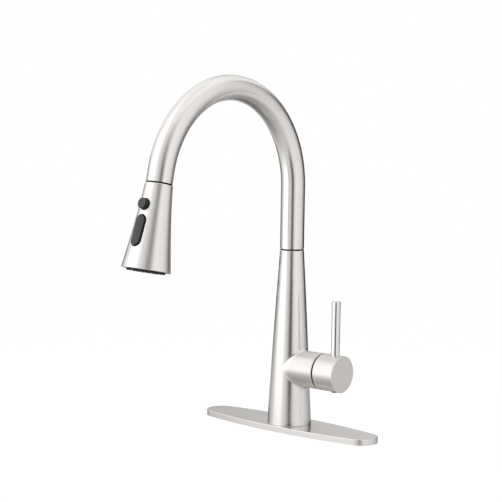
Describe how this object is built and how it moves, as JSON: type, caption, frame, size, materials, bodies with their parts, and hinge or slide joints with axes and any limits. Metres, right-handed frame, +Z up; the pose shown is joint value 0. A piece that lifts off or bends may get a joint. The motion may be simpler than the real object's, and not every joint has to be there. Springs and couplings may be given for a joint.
{
  "type": "pull-down kitchen faucet",
  "caption": "Single-lever kitchen mixer tap with a tapering body on an oval deck plate, a swivelling gooseneck spout and a pull-down spray head.",
  "frame": {"origin": "on the sink deck, at the middle of the deck plate, where the body's axis meets the deck's top face", "axes": "+Z up along the body's axis, -Y towards the user, where the spout reaches over the sink, +X to the side with the lever"},
  "size_m": [0.2464, 0.2964, 0.5002],
  "materials": {
    "brushed_nickel": "satin brushed nickel plating",
    "black_plastic": "moulded, satin black",
    "button_plastic": "moulded, matt dark grey",
    "grey_plastic": "moulded, plain",
    "white_nylon": "moulded, plain",
    "black_rubber": "moulded",
    "brass": "machined",
    "ceramic": "ground and lapped ceramic",
    "plain_steel": "stainless steel, plain",
    "woven_hose": "woven nylon sleeve"
  },
  "bodies": {
    "body": {"deck_plate": "brushed_nickel", "plate_gasket": "black_rubber", "base_seal": "black_rubber", "threaded_shank": "brass", "rubber_washer": "black_rubber", "metal_washer": "plain_steel", "mounting_nut": "brass", "jack_screws": "plain_steel", "inlet_manifold": "brass", "manifold_o_rings": "black_rubber", "outlet_nipple": "brass", "nipple_o_rings": "black_rubber", "body_column": "brushed_nickel", "lower_swivel_bush": "white_nylon", "upper_swivel_bush": "white_nylon", "seam_ring": "black_plastic", "hose_coupling": "grey_plastic", "cartridge_base": "white_nylon", "cartridge_seals": "black_rubber", "cartridge_housing": "white_nylon", "fixed_ceramic_disc": "ceramic", "cartridge_nut": "brass", "dome_bonnet": "black_plastic"},
    "spout": {"spout_tube": "brushed_nickel", "spout_spigot": "brass", "spout_friction_ring": "black_rubber", "spout_retaining_clip": "plain_steel", "dock_collar": "black_plastic", "pull_down_hose": "woven_hose"},
    "hose_end": {"hose_ferrule": "plain_steel"},
    "spray_head": {"hose_end_fitting": "black_plastic", "inlet_washer": "black_rubber", "spray_head_shell": "brushed_nickel", "head_core": "grey_plastic", "check_valve": "grey_plastic", "button_bezel": "black_plastic", "rocker_pin": "plain_steel", "nozzle_pad": "black_rubber", "spray_face": "black_plastic", "aerator_housing": "black_plastic", "aerator_screen": "grey_plastic"},
    "button": {"pause_button": "button_plastic", "button_spring": "plain_steel", "pause_valve_seal": "black_rubber"},
    "rocker": {"mode_rocker": "button_plastic"},
    "diverter": {"diverter_spool": "grey_plastic"},
    "turntable": {"stem_carrier": "white_nylon", "stem_pivot_pin": "plain_steel"},
    "disc_slide": {"moving_ceramic_disc": "ceramic", "disc_slider": "white_nylon"},
    "handle": {"cartridge_stem": "plain_steel", "handle_cap": "brushed_nickel", "lever_rod": "brushed_nickel", "handle_set_screw": "plain_steel", "set_screw_plug": "black_plastic"}
  },
  "joints": [
    {"name": "spout_swivel", "type": "hinge", "parent": "body", "child": "spout", "pos_m": [0, 0, 0.2], "axis": [0, 0, 1], "continuous": true},
    {"name": "head_pull", "type": "slide", "parent": "spout", "child": "hose_end", "axis": [0, -0.2062, -0.9785], "range_m": [0, 0.4], "stiffness_N_per_m": 5, "springref_m": -1, "deforming": ["pull_down_hose"]},
    {"name": "head_swivel", "type": "hinge", "parent": "hose_end", "child": "spray_head", "pos_m": [0, -0.22286, 0.29573], "axis": [0, -0.2062, -0.9785], "continuous": true},
    {"name": "pause_press", "type": "slide", "parent": "spray_head", "child": "button", "axis": [0, 0.9504, -0.311], "range_m": [0, 0.0018], "stiffness_N_per_m": 1500, "springref_m": -0.001, "deforming": ["button_spring"]},
    {"name": "mode_rock", "type": "hinge", "parent": "spray_head", "child": "rocker", "pos_m": [0, -0.24922, 0.24669], "axis": [1, 0, 0], "range_deg": [0, 5]},
    {"name": "diverter_shift", "type": "slide", "parent": "spray_head", "child": "diverter", "axis": [0, 0.3365, 0.9417], "range_m": [0, 0.000523]},
    {"name": "lever_temperature", "type": "hinge", "parent": "body", "child": "turntable", "pos_m": [0.0359, 0, 0.0734], "axis": [1, 0, 0], "range_deg": [-45, 45]},
    {"name": "lever_flow", "type": "hinge", "parent": "turntable", "child": "handle", "pos_m": [0.0359, 0, 0.0734], "axis": [0, 1, 0], "range_deg": [0, 22]},
    {"name": "disc_shift", "type": "slide", "parent": "turntable", "child": "disc_slide", "axis": [0, 0, 1], "range_m": [0, 0.00503]}
  ],
  "couplings": [
    {"joint": "mode_rock", "follows": "diverter_shift", "rad_per_m": 166.67},
    {"joint": "disc_shift", "follows": "lever_flow", "m_per_rad": 0.01307}
  ]
}
